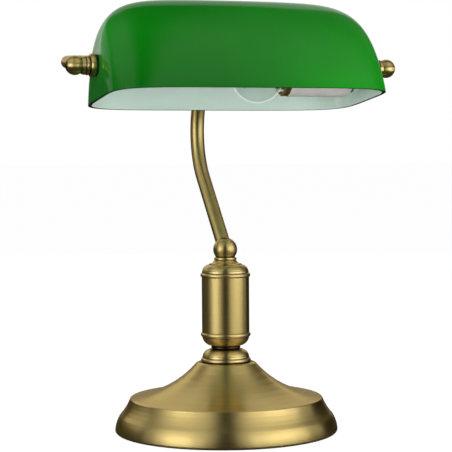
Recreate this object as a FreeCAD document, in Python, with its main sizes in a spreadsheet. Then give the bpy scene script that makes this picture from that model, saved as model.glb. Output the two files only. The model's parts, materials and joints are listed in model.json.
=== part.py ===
"""Banker desk lamp: a spun brass foot and column, a bent arm, a U-shaped yoke and a tilting glass shade.

The origin is the centre of the foot's underside. +Z is up, X runs along the shade and the foot's
cord inlet is at +Y, so the shade's open side faces a person who sits at -Y. Sizes are in millimetres.
"""
import FreeCAD, Part
import math
import os
import Sketcher
from FreeCAD import Placement, Rotation, Vector

DIMENSIONS = {
    # foot
    "foot_radius": 97.6,
    "foot_top": 61.0,
    "foot_wall": 1.2,
    "plate_radius": 93.3,
    "felt_thick": 1.5,
    "plate_top": 3.1,
    "ballast_radius": 56.0,
    "ballast_top": 26.0,
    "inlet_radius": 5.0,
    "inlet_height": 10.0,
    # column
    "rod_radius": 5.0,
    "rod_bore": 3.3,
    "rod_clearance": 0.2,
    "cap_radius": 20.95,
    "cap_height": 11.2,
    "sleeve_bottom": 86.8,
    "sleeve_top": 135.4,
    "sleeve_radius": 20.8,
    "ball_height": 159.5,
    "ball_radius": 10.5,
    "ball_cut": 6.6,
    # arm and yoke
    "arm_radius": 6.3,
    "arm_bore": 5.0,
    "arm_lean": 43.4,
    "arm_return": 19.5,
    "arm_bend": 60.0,
    "yoke_radius": 5.5,
    "yoke_bore": 4.4,
    "yoke_half": 130.0,
    "yoke_depth": 87.4,
    "yoke_rise": 5.25,
    "yoke_bend": 20.0,
    # shade and its pivots
    "pivot_forward": 30.0,
    "pivot_height": 317.0,
    "pivot_radius": 5.0,
    "pivot_bore": 3.2,
    "shade_half_length": 123.0,
    "shade_half_width": 61.6,
    "shade_rise": 84.4,
    "shade_below": 27.8,
    "shade_wall": 3.0,
    "shade_tilt": 7.4,
    "seat_inner": 118.1,
    "seat_outer": 122.4,
    "hub_start": 123.4,
    "hub_end": 135.6,
    "finial_radius": 8.15,
    "finial_centre": 140.8,
    # bulb and lampholder
    "holder_drop": 8.0,
    "holder_radius": 17.0,
    "holder_front": 46.5,
    "holder_back": 106.2,
    "bulb_centre": 20.0,
    "bulb_radius": 22.7,
    "lead_radius": 1.4,
}

X_AXIS = Vector(1, 0, 0)
Y_AXIS = Vector(0, 1, 0)
Z_AXIS = Vector(0, 0, 1)

doc = FreeCAD.newDocument("banker_desk_lamp")
dims = doc.addObject("Spreadsheet::Sheet", "dims")
for row, (alias, length) in enumerate(DIMENSIONS.items(), start=1):
    dims.set(f"A{row}", alias)
    dims.set(f"B{row}", str(length))
    dims.setAlias(f"B{row}", alias)
doc.recompute()

NODES = []


def keep(item, node):
    """Label a finished sub-part with its node name."""
    item.Label = node
    NODES.append(item)
    return item


def size(formula):
    """Value of a number or of a formula in the sheet's dimensions."""
    return float(dims.evalExpression(str(formula)))


# ---------------------------------------------------------------- sketches and turned pieces


def origin_plane(body, role):
    """Origin plane of a body, found by its role."""
    return next(item for item in body.Origin.OriginFeatures if item.Role == role)


def new_sketch(body, name, role):
    """Sketch on one of the body's own origin planes."""
    sketch = body.newObject("Sketcher::SketchObject", name)
    sketch.AttachmentSupport = [(origin_plane(body, role), "")]
    sketch.MapMode = "FlatFace"
    return sketch


def hold(sketch, kind, geometry, formula):
    """Add one dimension to a sketch and bind it to a formula."""
    index = sketch.addConstraint(Sketcher.Constraint(kind, *geometry, size(formula)))
    sketch.renameConstraint(index, f"{kind}{index}")
    sketch.setExpression(f"Constraints.{kind}{index}", str(formula))


def hold_point(sketch, edge, end, place):
    """Fix one end of an edge at a place given by two formulas."""
    for kind, axis, formula in (("DistanceX", -2, place[0]), ("DistanceY", -1, place[1])):
        if abs(size(formula)) < 1e-9:
            sketch.addConstraint(Sketcher.Constraint("PointOnObject", edge, end, axis))
        else:
            hold(sketch, kind, (-1, 1, edge, end), formula)


def arc_between(start, end, radius):
    """Short arc from start to end; a positive radius puts its centre to the left of the way."""
    chord = end - start
    reach = math.sqrt(radius**2 - (chord.Length / 2) ** 2)
    left = Vector(-chord.y, chord.x, 0).normalize()
    side = math.copysign(1, radius)
    centre = start + chord * 0.5 + left * reach * side
    middle = centre - left * abs(radius) * side
    return Part.Arc(start, middle, end)


def draw(sketch, vertices, closed=True):
    """Chain of lines and arcs through vertices (x, y) or (x, y, radius of the arc that leads there)."""
    places = [Vector(size(vertex[0]), size(vertex[1]), 0) for vertex in vertices]
    count = len(vertices) if closed else len(vertices) - 1
    for start in range(count):
        end = (start + 1) % len(vertices)
        if len(vertices[end]) == 3:
            radius = size(vertices[end][2])
            edge = sketch.addGeometry(arc_between(places[start], places[end], radius), False)
            # a sketch stores every arc anticlockwise
            first = 1 if radius > 0 else 2
            hold(sketch, "Radius", (edge,), f"abs({vertices[end][2]})")
        else:
            edge = sketch.addGeometry(Part.LineSegment(places[start], places[end]), False)
            first = 1
        hold_point(sketch, edge, first, vertices[start][:2])
        hold_point(sketch, edge, 3 - first, vertices[end][:2])


def turned(node, outline, axis="Z", place=None):
    """Piece turned about X or Z, from its outline as (along the axis, radius[, arc radius]).

    On the way along the axis an arc that bulges outwards has a positive radius about Z, where the
    outline lies to the right of the axis, and a negative one about X, where it lies above the axis.
    """
    body = doc.addObject("PartDesign::Body", node)
    sketch = new_sketch(body, f"{node}_outline", "XZ_Plane")
    if axis == "Z":
        outline = [(v[1], v[0], *v[2:]) for v in outline]
    draw(sketch, outline)
    revolution = body.newObject("PartDesign::Revolution", f"{node}_turned")
    revolution.Profile = sketch
    revolution.ReferenceAxis = (sketch, ["V_Axis" if axis == "Z" else "H_Axis"])
    revolution.Angle = 360
    body.Tip = revolution
    for component, formula in (place or {}).items():
        body.setExpression(f".Placement.Base.{component}", formula)
    return body


def sleeve(node, start, end, outer, bore, axis="Z", place=None):
    """Plain ring or tube."""
    outline = [(start, bore), (start, outer), (end, outer), (end, bore)]
    return turned(node, outline, axis, place)


PIVOT = {"y": "-dims.pivot_forward", "z": "dims.pivot_height"}
HOLDER = {"y": "-dims.pivot_forward", "z": "dims.pivot_height - dims.holder_drop"}


# ---------------------------------------------------------------- primitives and booleans


def cylinder(name, radius, length, base, direction):
    """Cylinder that starts at base and runs along direction."""
    item = doc.addObject("Part::Cylinder", name)
    item.setExpression("Radius", str(radius))
    item.setExpression("Height", str(length))
    item.Placement = Placement(base, Rotation(Z_AXIS, direction))
    return item


def cut(name, base, *tools):
    """Base with every tool taken away."""
    for number, tool in enumerate(tools):
        item = doc.addObject("Part::Cut", f"{name}_cut_{number}")
        item.Base = base
        item.Tool = tool
        base = item
    return base


def fuse(name, *shapes):
    """All shapes as one."""
    item = doc.addObject("Part::MultiFuse", name)
    item.Shapes = list(shapes)
    return item


def hex_nut(node, corner_radius, bore, base, direction, height):
    """Plain hexagon nut that starts at base."""
    prism = doc.addObject("Part::Prism", f"{node}_hexagon")
    prism.Polygon = 6
    prism.setExpression("Circumradius", str(corner_radius))
    prism.setExpression("Height", str(height))
    prism.Placement = Placement(base, Rotation(Z_AXIS, direction))
    hole = cylinder(f"{node}_bore", bore, height, base, direction)
    return keep(cut(node, prism, hole), node)


# ---------------------------------------------------------------- key places

PIVOT_POINT = Vector(0, -size("dims.pivot_forward"), size("dims.pivot_height"))
YOKE_TURN = Rotation(X_AXIS, size("dims.yoke_rise"))
YOKE_BACK = PIVOT_POINT + YOKE_TURN.multVec(Vector(0, size("dims.yoke_depth"), 0))
BALL_CENTRE = Vector(0, 0, size("dims.ball_height"))
LEAN = math.radians(size("dims.arm_lean"))
RETURN = math.radians(size("dims.arm_return"))
ARM_OUT = Vector(0, math.sin(LEAN), math.cos(LEAN))
ARM_IN = Vector(0, -math.sin(RETURN), math.cos(RETURN))
ARM_START = 5.0
ARM_STOP = 9.0


def arm_corner():
    """Point where the arm's two straight runs would meet."""
    gap = YOKE_BACK - BALL_CENTRE
    turn = ARM_OUT.y * ARM_IN.z - ARM_OUT.z * ARM_IN.y
    reach = (gap.y * ARM_IN.z - gap.z * ARM_IN.y) / turn
    return BALL_CENTRE + ARM_OUT * reach


# ---------------------------------------------------------------- foot


def base_shell():
    """Spun foot: a rolled lip, a flared band, a ridge and an ogee that rises to a flat top."""
    edge = "dims.foot_radius"
    top = "dims.foot_top"
    wall = "dims.foot_wall"
    bore = "dims.rod_radius + dims.rod_clearance"
    outline = [
        (0, f"{edge} - 2.6"),
        (2.2, edge, 2.6),
        (13.6, f"{edge} - 3.4", 26),
        (14.6, f"{edge} - 4.0"),
        (28.6, f"{edge} - 12.8", -45),
        (30.2, f"{edge} - 14.4", 2),
        (f"{top} - 2.0", 27.2, -87),
        (top, 23.6, 4.5),
        (top, bore),
        (f"{top} - {wall}", bore),
        (f"{top} - {wall}", 22.8),
        (f"{top} - 3.2", 26.4),
        (28.8, f"{edge} - 17.4", 87),
        (25.4, f"{edge} - 13.3"),
        (12.0, f"{edge} - 4.4", 23),
        (3.4, f"{edge} - 1.4"),
        (1.6, f"{edge} - 3.7"),
        (0, f"{edge} - 3.7"),
    ]
    body = turned("base_shell_turned", outline)
    inlet = Vector(0, 80, size("dims.inlet_height"))
    hole = cylinder("inlet_hole", "dims.inlet_radius + 0.05", 25, inlet, Y_AXIS)
    keep(cut("base_shell", body, hole), "base_shell")


def base_floor():
    """Felt pad and the steel plate that it is glued to."""
    bore = "dims.rod_radius + dims.rod_clearance"
    keep(sleeve("base_felt", 0, "dims.felt_thick", "dims.plate_radius", 0), "base_felt")
    plate = sleeve("base_plate", "dims.felt_thick", "dims.plate_top", "dims.plate_radius", bore)
    keep(plate, "base_plate")


def base_weight():
    """Cast ballast ring with a draft and a bevelled top edge."""
    bore = "dims.rod_radius + dims.rod_clearance"
    outline = [
        ("dims.plate_top", bore),
        ("dims.plate_top", "dims.ballast_radius + 2"),
        ("dims.ballast_top - 4", "dims.ballast_radius"),
        ("dims.ballast_top", "dims.ballast_radius - 6"),
        ("dims.ballast_top", bore),
    ]
    keep(turned("base_weight", outline), "base_weight")


def cable_bushing():
    """Inlet for the mains cord: a barrel through the band with a flange inside."""
    inner, outer, flange = 86.0, 97.5, 2.0
    height = size("dims.inlet_height")
    start = Vector(0, inner, height)
    barrel = cylinder("inlet_barrel", "dims.inlet_radius", outer - inner, start, Y_AXIS)
    collar = cylinder("inlet_flange", "dims.inlet_radius + 1.5", flange, start, Y_AXIS)
    bore = cylinder("inlet_bore", "dims.inlet_radius - 1.6", outer - inner, start, Y_AXIS)
    shape = fuse("inlet_solid", barrel, collar)
    keep(cut("cable_bushing", shape, bore), "cable_bushing")


def terminal_block():
    """Screw terminals where the mains cord meets the inner lead."""
    width, depth, rise, near = 24.0, 16.0, 10.0, 62.0
    floor = size("dims.plate_top")
    block = doc.addObject("Part::Box", "terminal_box")
    block.Length, block.Width, block.Height = width, depth, rise
    block.Placement.Base = Vector(-width / 2, near, floor)
    holes = []
    screws = []
    for number, across in enumerate((-7.0, 7.0)):
        seat = Vector(across, near + depth / 2, floor + rise - 5)
        holes.append(cylinder(f"terminal_hole_{number}", 1.8, 6, seat, Z_AXIS))
        screws.append(cylinder(f"terminal_screw_{number}", 1.7, 4.4, seat, Z_AXIS))
    keep(cut("terminal_block", block, *holes), "terminal_block")
    group = doc.addObject("Part::Compound", "terminal_screws")
    group.Links = screws
    keep(group, "terminal_screws")


# ---------------------------------------------------------------- column


def support_tube():
    """Threaded hollow rod through the foot and the column, with a side hole for the lead."""
    rod = sleeve(
        "support_rod", "dims.plate_top", "dims.ball_height - 3", "dims.rod_radius", "dims.rod_bore"
    )
    hole = cylinder("rod_side_hole", 2.2, 8, Vector(0, 0, 40), Y_AXIS)
    keep(cut("support_tube", rod, hole), "support_tube")
    corner, bore = 9.0, "dims.rod_radius + 0.02"
    ballast_top = Vector(0, 0, size("dims.ballast_top"))
    hex_nut("ballast_nut", corner, bore, ballast_top, Z_AXIS, 5)
    shell_under = size("dims.foot_top - dims.foot_wall")
    washer = sleeve("base_washer", shell_under - 1.5, shell_under, 16, bore)
    keep(washer, "base_washer")
    hex_nut("base_nut", corner, bore, Vector(0, 0, shell_under - 6.5), Z_AXIS, 5)


def spun_cap(node, start, way, fullness):
    """Beaded cap with a domed shoulder; way is 1 for a dome that points up and -1 for down.

    Fullness is the radius of the shoulder's arc: the smaller it is, the fuller the dome.
    """
    radius = "dims.cap_radius"
    bore = "dims.rod_radius + dims.rod_clearance"

    def at(along):
        return f"{start} + {way} * ({along})"

    outline = [
        (at(0), f"{radius} - 1.4"),
        (at(0), radius),
        (at(3.6), radius, 2.1 * way),
        (at(4.2), f"{radius} - 0.35"),
        (at("dims.cap_height"), f"{radius} - 6.9", fullness * way),
        (at("dims.cap_height"), bore),
        (at("dims.cap_height - 1.2"), bore),
        (at("dims.cap_height - 1.2"), f"{radius} - 8.2"),
        (at(4.2), f"{radius} - 1.8", -(fullness - 0.8) * way),
    ]
    keep(turned(node, outline), node)


def neck_rings():
    """Turned rings under the column and under the ball."""
    bore = "dims.rod_radius + dims.rod_clearance"
    low = "dims.foot_top + dims.cap_height"
    lower = [
        (low, bore),
        (low, 11.6),
        (f"{low} + 0.6", 12.2),
        (f"{low} + 2.8", 12.2, 1.25),
        ("dims.sleeve_bottom - dims.cap_height", 11.0),
        ("dims.sleeve_bottom - dims.cap_height", bore),
    ]
    keep(turned("lower_neck_ring", lower), "lower_neck_ring")
    high = "dims.sleeve_top + dims.cap_height"
    seat = "dims.ball_height - dims.ball_cut"
    upper = [
        (high, bore),
        (high, 14.2),
        (f"{high} + 0.5", 14.2),
        (f"{high} + 3.3", 9.9, -5),
        (f"{high} + 3.7", 9.2),
        (f"{seat} - 0.2", 9.2, 1.3),
        (seat, 8.8),
        (seat, bore),
    ]
    keep(turned("upper_neck_ring", upper), "upper_neck_ring")


def column():
    """Two spun caps with a straight sleeve between them, on a third cap that covers the foot's top."""
    spun_cap("collar_dome", "dims.foot_top", 1, 7.6)
    spun_cap("body_cup", "dims.sleeve_bottom", -1, 9.0)
    radius = "dims.sleeve_radius"
    keep(sleeve("body_tube", "dims.sleeve_bottom", "dims.sleeve_top", radius, f"{radius} - 1.2"), "body_tube")
    spun_cap("body_cap", "dims.sleeve_top", 1, 7.6)


def ball_coupling():
    """Ball with a threaded bore below and a slanting socket for the arm."""
    bottom = "dims.ball_height - dims.ball_cut"
    outline = [
        (bottom, 0),
        (bottom, "sqrt(dims.ball_radius^2 - dims.ball_cut^2)"),
        ("dims.ball_height + dims.ball_radius", 0, "dims.ball_radius"),
    ]
    ball = turned("ball_turned", outline)
    underside = BALL_CENTRE - Z_AXIS * size("dims.ball_cut")
    rod_hole = cylinder(
        "ball_rod_hole", "dims.rod_radius + 0.02", "dims.ball_cut - 2.8", underside, Z_AXIS
    )
    wire_way = cylinder("ball_wire_way", 3.2, 6, BALL_CENTRE - Z_AXIS * 4, Z_AXIS)
    turn_way = cylinder("ball_turn_way", 3.2, 12, BALL_CENTRE, ARM_OUT)
    socket = cylinder("ball_socket", "dims.arm_radius + 0.02", 12, BALL_CENTRE + ARM_OUT * ARM_START, ARM_OUT)
    keep(cut("ball_coupling", ball, rod_hole, wire_way, turn_way, socket), "ball_coupling")


# ---------------------------------------------------------------- arm and yoke


def piped(node, body, path, radius, bore):
    """Round tube along a path sketch of the body."""
    section = body.newObject("Sketcher::SketchObject", f"{node}_section")
    section.AttachmentSupport = [(path, "Edge1")]
    section.MapMode = "NormalToEdge"
    for formula in (radius, bore):
        circle = section.addGeometry(Part.Circle(Vector(0, 0, 0), Z_AXIS, size(formula)), False)
        section.addConstraint(Sketcher.Constraint("Coincident", circle, 3, -1, 1))
        hold(section, "Radius", (circle,), formula)
    doc.recompute()
    pipe = body.newObject("PartDesign::AdditivePipe", f"{node}_pipe")
    pipe.Profile = section
    pipe.Spine = (path, [f"Edge{number + 1}" for number in range(path.GeometryCount)])
    body.Tip = pipe
    return body


def arm_tube():
    """Bent tube that leans back from the ball, then turns up and forward to the yoke."""
    body = doc.addObject("PartDesign::Body", "arm_tube")
    path = new_sketch(body, "arm_path", "YZ_Plane")
    corner = arm_corner()
    bend = size("dims.arm_bend")
    reach = bend * math.tan((LEAN + RETURN) / 2)
    start = BALL_CENTRE + ARM_OUT * ARM_START
    bend_start = corner - ARM_OUT * reach
    bend_end = corner + ARM_IN * reach
    end = YOKE_BACK - ARM_IN * ARM_STOP
    flat = [Vector(point.y, point.z, 0) for point in (start, bend_start, bend_end, end)]
    low = path.addGeometry(Part.LineSegment(flat[0], flat[1]), False)
    arc = path.addGeometry(arc_between(flat[1], flat[2], bend), False)
    high = path.addGeometry(Part.LineSegment(flat[2], flat[3]), False)
    path.addConstraint(Sketcher.Constraint("Tangent", low, 2, arc, 1))
    path.addConstraint(Sketcher.Constraint("Tangent", arc, 2, high, 1))
    hold(path, "Radius", (arc,), "dims.arm_bend")
    rise = f"dims.ball_height + {ARM_START} * cos(dims.arm_lean)"
    hold_point(path, low, 1, (f"{ARM_START} * sin(dims.arm_lean)", rise))
    for edge, angle in ((low, "90 - dims.arm_lean"), (high, "90 + dims.arm_return")):
        index = path.addConstraint(
            Sketcher.Constraint("Angle", edge, FreeCAD.Units.Quantity(size(angle), FreeCAD.Units.Angle))
        )
        path.renameConstraint(index, f"Angle{index}")
        path.setExpression(f"Constraints.Angle{index}", f"({angle}) * 1 deg")
    index = path.addConstraint(Sketcher.Constraint("DistanceY", -1, 1, high, 2, flat[3].y))
    path.renameConstraint(index, "arm_top")
    piped("arm_tube", body, path, "dims.arm_radius", "dims.arm_bore")
    keep(body, "arm_tube")


def yoke_tube():
    """U-shaped tube: a bar behind the shade and a side arm forward to each hub."""
    body = doc.addObject("PartDesign::Body", "yoke_bent")
    path = new_sketch(body, "yoke_path", "XY_Plane")
    half, depth, bend = "dims.yoke_half", "dims.yoke_depth", "dims.yoke_bend"
    front = "dims.pivot_radius + 0.6"
    vertices = [
        (f"-{half}", front),
        (f"-{half}", f"{depth} - {bend}"),
        (f"-{half} + {bend}", depth, f"-{bend}"),
        (f"{half} - {bend}", depth),
        (half, f"{depth} - {bend}", f"-{bend}"),
        (half, front),
    ]
    draw(path, vertices, closed=False)
    piped("yoke_tube", body, path, "dims.yoke_radius", "dims.yoke_bore")
    body.Placement = Placement(PIVOT_POINT, YOKE_TURN)
    hole = cylinder("yoke_wire_hole", 3.4, 8, YOKE_BACK - ARM_IN * 8, ARM_IN)
    keep(cut("yoke_tube", body, hole), "yoke_tube")


def arm_tee():
    """Saddle at the middle of the yoke that takes the arm's upper end."""
    half, outer, drop = 9.0, 8.0, 15.0
    left = YOKE_BACK - X_AXIS * half
    saddle = cylinder("tee_saddle", outer, 2 * half, left, X_AXIS)
    boss = cylinder("tee_boss", outer, drop, YOKE_BACK - ARM_IN * drop, ARM_IN)
    bar = cylinder("tee_bar", "dims.yoke_radius + 0.02", 2 * half, left, X_AXIS)
    socket = cylinder(
        "tee_socket", "dims.arm_radius + 0.02", drop - ARM_STOP, YOKE_BACK - ARM_IN * drop, ARM_IN
    )
    wire_way = cylinder("tee_wire_way", 3.4, ARM_STOP, YOKE_BACK - ARM_IN * ARM_STOP, ARM_IN)
    keep(cut("arm_tee", fuse("tee_solid", saddle, boss), bar, socket, wire_way), "arm_tee")


# ---------------------------------------------------------------- hubs, pivots and finials


def end_stack(name, side):
    """Hub, pivot, finial, bush, washer and locknut of one end; side is -1 for left and 1 for right."""

    def turned_end(node, outline):
        sided = [(f"{side} * ({v[0]})", v[1]) + tuple(side * bend for bend in v[2:]) for v in outline]
        return turned(node, sided, "X", PIVOT)

    running = "dims.pivot_radius + 0.05"
    hub_start, hub_end = "dims.hub_start", "dims.hub_end"
    hub = turned_end(
        f"{name}_hub_turned",
        [
            (hub_start, running),
            (hub_start, 8.6),
            (f"{hub_start} + 5.1", 8.6, -2.8),
            (f"{hub_start} + 5.5", 7.8),
            (f"{hub_start} + 8.3", 7.8, -1.8),
            (f"{hub_start} + 8.8", 7.3),
            (f"{hub_start} + 9.4", 8.0),
            (hub_end, 7.2),
            (hub_end, running),
        ],
    )
    middle = PIVOT_POINT + X_AXIS * side * size("dims.yoke_half")
    backward = YOKE_TURN.multVec(Y_AXIS)
    seat = middle + backward * size("dims.pivot_radius + 0.6")
    socket = cylinder(f"{name}_hub_socket", "dims.yoke_radius + 0.02", 12, seat, backward)
    wire_way = cylinder(f"{name}_hub_wire_way", 2.6, 10, middle, backward)
    keep(cut(f"{name}_hub", hub, socket, wire_way), f"{name}_hub")

    inner_end = "dims.holder_back" if side > 0 else "dims.seat_inner - 6.9"
    tube = turned_end(
        f"{name}_pivot_turned",
        [
            (inner_end, "dims.pivot_bore"),
            (inner_end, "dims.pivot_radius"),
            ("dims.finial_centre + 0.2", "dims.pivot_radius"),
            ("dims.finial_centre + 0.2", "dims.pivot_bore"),
        ],
    )
    wire_hole = cylinder(f"{name}_pivot_wire_hole", 2.6, 10, middle, backward)
    keep(cut(f"{name}_pivot", tube, wire_hole), f"{name}_pivot")

    finial_start = f"{hub_end} + 0.3"
    finial = turned_end(
        f"{name}_finial",
        [
            (finial_start, running),
            (finial_start, f"sqrt(dims.finial_radius^2 - (dims.finial_centre - {hub_end} - 0.3)^2)"),
            ("dims.finial_centre + dims.finial_radius", 0, -size("dims.finial_radius")),
            ("dims.finial_centre + 1.5", 0),
            ("dims.finial_centre + 1.5", running),
        ],
    )
    keep(finial, f"{name}_finial")

    bush = turned_end(
        f"{name}_bushing",
        [
            ("dims.seat_inner - 0.7", running),
            ("dims.seat_inner - 0.7", 6.4),
            ("dims.seat_outer", 6.4),
            ("dims.seat_outer", 9.2),
            ("dims.seat_outer + 0.7", 9.2),
            ("dims.seat_outer + 0.7", running),
        ],
    )
    keep(bush, f"{name}_bushing")
    washer = turned_end(
        f"{name}_washer",
        [
            ("dims.seat_inner - 0.7", 6.45),
            ("dims.seat_inner - 0.7", 9.0),
            ("dims.seat_inner", 9.0),
            ("dims.seat_inner", 6.45),
        ],
    )
    keep(washer, f"{name}_washer")
    nut_face = size("dims.seat_inner") - 1.0
    outward = X_AXIS * side
    start = PIVOT_POINT + outward * (nut_face - 4)
    hex_nut(f"{name}_locknut", 8.2, "dims.pivot_radius + 0.02", start, outward, 4)


# ---------------------------------------------------------------- shade


def rim_point(turn, half_length, half_width, squareness):
    """Point of a rounded rectangle in the direction of a turn; a squareness of 2 gives an ellipse."""
    along, across = math.cos(turn), math.sin(turn)
    reach = (abs(along) ** squareness + abs(across) ** squareness) ** (-1 / squareness)
    return Vector(half_length * reach * along, half_width * reach * across, 0)


def even_turns(half_length, half_width, squareness, count):
    """Turns whose points lie at even spaces round a rounded rectangle."""
    fine = [2 * math.pi * step / 720 for step in range(721)]
    points = [rim_point(turn, half_length, half_width, squareness) for turn in fine]
    walked = [0.0]
    for before, after in zip(points, points[1:]):
        walked.append(walked[-1] + before.distanceToPoint(after))
    turns = []
    index = 0
    for step in range(count):
        goal = walked[-1] * step / count
        while walked[index + 1] <= goal:
            index += 1
        part = (goal - walked[index]) / (walked[index + 1] - walked[index])
        turns.append(fine[index] + part * (fine[index + 1] - fine[index]))
    return turns


def shade_section(height, inset):
    """Closed outline of the shade at a height above the rim, moved in from the glass's outside."""
    rise = size("dims.shade_rise") - inset
    share = height / rise
    draft = 1 - 0.011 * share
    half_length = (size("dims.shade_half_length") - inset) * draft * (1 - share**4.5) ** 0.18
    half_width = (size("dims.shade_half_width") - inset) * (1 - share**1.6) ** (0.625 - 0.125 * share**6)
    form = (half_length, half_width, 5.3 - 3.1 * share)
    lift = Z_AXIS * (height - size("dims.shade_below"))
    points = [rim_point(turn, *form) + lift for turn in even_turns(*form, 48)]
    curve = Part.BSplineCurve()
    curve.interpolate(points, PeriodicFlag=True)
    return Part.Wire(curve.toShape())


def shade_solid(inset):
    """Loaf-shaped solid through sections that crowd together towards the crown."""
    rise = size("dims.shade_rise") - inset
    angles = (0, 12, 24, 36, 47, 57, 66, 74, 80, 85)
    heights = [rise * math.sin(math.radians(angle)) for angle in angles]
    return Part.makeLoft([shade_section(height, inset) for height in heights], True, False)


def shade_glass():
    """Pressed glass: a loaf-shaped shell, open below, with a flat seat and a hole at each end."""
    cavity = shade_solid(size("dims.shade_wall"))
    shell = shade_solid(0).cut(cavity)
    inner, outer = size("dims.seat_inner"), size("dims.seat_outer")
    for side in (-1, 1):
        out = X_AXIS * side
        shell = shell.fuse(Part.makeCylinder(9.4, outer - inner, out * inner, out))
        shell = shell.cut(Part.makeCylinder(9.8, 6, out * outer, out))
        shell = shell.cut(Part.makeCylinder(9.8, 6, out * inner, -out))
        shell = shell.cut(Part.makeCylinder(6.5, 12, out * (inner - 4), out))
    item = doc.addObject("Part::Feature", "shade_glass")
    item.Shape = shell
    item.Placement = Placement(PIVOT_POINT, Rotation(X_AXIS, -size("dims.shade_tilt")))
    keep(item, "shade_glass")


# ---------------------------------------------------------------- lampholder and bulb


def lampholder():
    """White holder with its brass front ring, screw shell, core and centre contact."""
    radius, front, back = "dims.holder_radius", "dims.holder_front", "dims.holder_back"
    body = turned(
        "lampholder_turned",
        [
            (front, f"{radius} - 2.2"),
            (front, f"{radius} - 0.5"),
            (f"{front} + 1.2", radius),
            (f"{back} - 9", radius),
            (back, f"{radius} - 6.5", -9.0),
            (back, 0),
            (f"{back} - 2", 0),
            (f"{back} - 2", f"{radius} - 7.6"),
            (f"{back} - 9", f"{radius} - 2.2"),
        ],
        "X",
        HOLDER,
    )
    end_wall = PIVOT_POINT + X_AXIS * (size(back) - 3)
    wire_hole = cylinder("holder_wire_hole", 2.4, 5, end_wall, X_AXIS)
    screw_hole = cylinder("holder_screw_hole", 1.6, 5, end_wall - Z_AXIS * 13, X_AXIS)
    keep(cut("lampholder_body", body, wire_hole, screw_hole), "lampholder_body")
    ring = [
        (f"{front} - 5.5", 13.6),
        (f"{front} - 5.5", f"{radius} - 1.6"),
        (f"{front} - 4.6", f"{radius} - 0.5"),
        (front, f"{radius} - 0.5"),
        (front, f"{radius} - 2.4"),
        (f"{front} + 6", f"{radius} - 2.4"),
        (f"{front} + 6", 13.8),
        (f"{front} - 4.0", 13.6),
    ]
    keep(turned("holder_ring", ring, "X", HOLDER), "holder_ring")
    keep(sleeve("screw_shell", 54, 84, 14.2, 13.6, "X", HOLDER), "screw_shell")
    keep(turned("holder_core", [(84, 0), (84, 14.6), (97, 14.6), (97, 0)], "X", HOLDER), "holder_core")
    keep(turned("centre_contact", [(80.5, 0), (80.5, 4), (84, 4), (84, 0)], "X", HOLDER), "centre_contact")


def holder_bracket():
    """Strap from the right-hand pivot down to the lampholder's end, with its nut and screw."""
    body = doc.addObject("PartDesign::Body", "holder_bracket")
    sketch = new_sketch(body, "bracket_outline", "YZ_Plane")
    draw(sketch, [(8, 0), (-8, 0, 8.0001), (-5, -16), (5, -16, 5.0001)])
    for place, radius in (((0, 0), 5.02), ((0, -13), 1.6)):
        circle = sketch.addGeometry(Part.Circle(Vector(*place, 0), Z_AXIS, radius), False)
        hold_point(sketch, circle, 3, place)
        hold(sketch, "Radius", (circle,), radius)
    pad = body.newObject("PartDesign::Pad", "bracket_pad")
    pad.Profile = sketch
    pad.Length = 1.6
    body.Tip = pad
    body.setExpression(".Placement.Base.x", "dims.holder_back")
    body.setExpression(".Placement.Base.y", PIVOT["y"])
    body.setExpression(".Placement.Base.z", PIVOT["z"])
    keep(body, "holder_bracket")
    face = PIVOT_POINT + X_AXIS * (size("dims.holder_back") + 1.6)
    hex_nut("bracket_nut", 7.6, "dims.pivot_radius + 0.02", face, X_AXIS, 3.5)
    screw = face - Z_AXIS * 13
    head = cylinder("holder_screw_head", 2.6, 1.6, screw, X_AXIS)
    shank = cylinder("holder_screw_shank", 1.5, 7, screw - X_AXIS * 7, X_AXIS)
    keep(fuse("holder_screw", head, shank), "holder_screw")


def bulb():
    """Clear globe bulb: glass, screw cap, stem and filament."""
    centre, radius = "dims.bulb_centre", "dims.bulb_radius"
    neck, wall = 12.4, 0.8
    inner = f"({radius} - {wall})"
    inner_neck = neck - wall
    glass = [
        (f"{centre} - {radius}", 0),
        (f"{centre} + sqrt({radius}^2 - {neck}^2)", neck, f"-({radius})"),
        (46.0, neck),
        (46.0, inner_neck),
        (f"{centre} + sqrt({inner}^2 - {inner_neck}^2)", inner_neck),
        (f"{centre} - {inner}", 0, inner),
    ]
    keep(turned("bulb_glass", glass, "X", HOLDER), "bulb_glass")
    cap = [
        (46.0, 11.6),
        (46.0, 13.2),
        (69.0, 13.2),
        (74.0, 8.0),
        (77.5, 4.8),
        (80.4, 3.0),
        (80.4, 0),
        (66.0, 0),
        (66.0, 11.6),
    ]
    keep(turned("bulb_cap", cap, "X", HOLDER), "bulb_cap")
    stem = [(15.0, 0), (15.0, 1.8), (17.0, 2.2), (36.0, 2.8), (42.0, 8.5), (45.5, 8.5), (45.5, 0)]
    keep(turned("bulb_stem", stem, "X", HOLDER), "bulb_stem")
    middle = PIVOT_POINT - Z_AXIS * size("dims.holder_drop")
    root = middle + X_AXIS * 16
    tips = [middle + Vector(8, 0, 10 * way) for way in (-1, 1)]
    wires = [
        cylinder(f"filament_lead_{number}", 0.35, (tip - root).Length, root, tip - root)
        for number, tip in enumerate(tips)
    ]
    coil = cylinder("filament_coil", 0.5, (tips[1] - tips[0]).Length, tips[0], Z_AXIS)
    stem_hollow = cylinder("filament_root", 2.2, 2.0, middle + X_AXIS * 15, X_AXIS)
    keep(cut("bulb_filament", fuse("filament_solid", coil, *wires), stem_hollow), "bulb_filament")


# ---------------------------------------------------------------- inner lead


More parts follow.
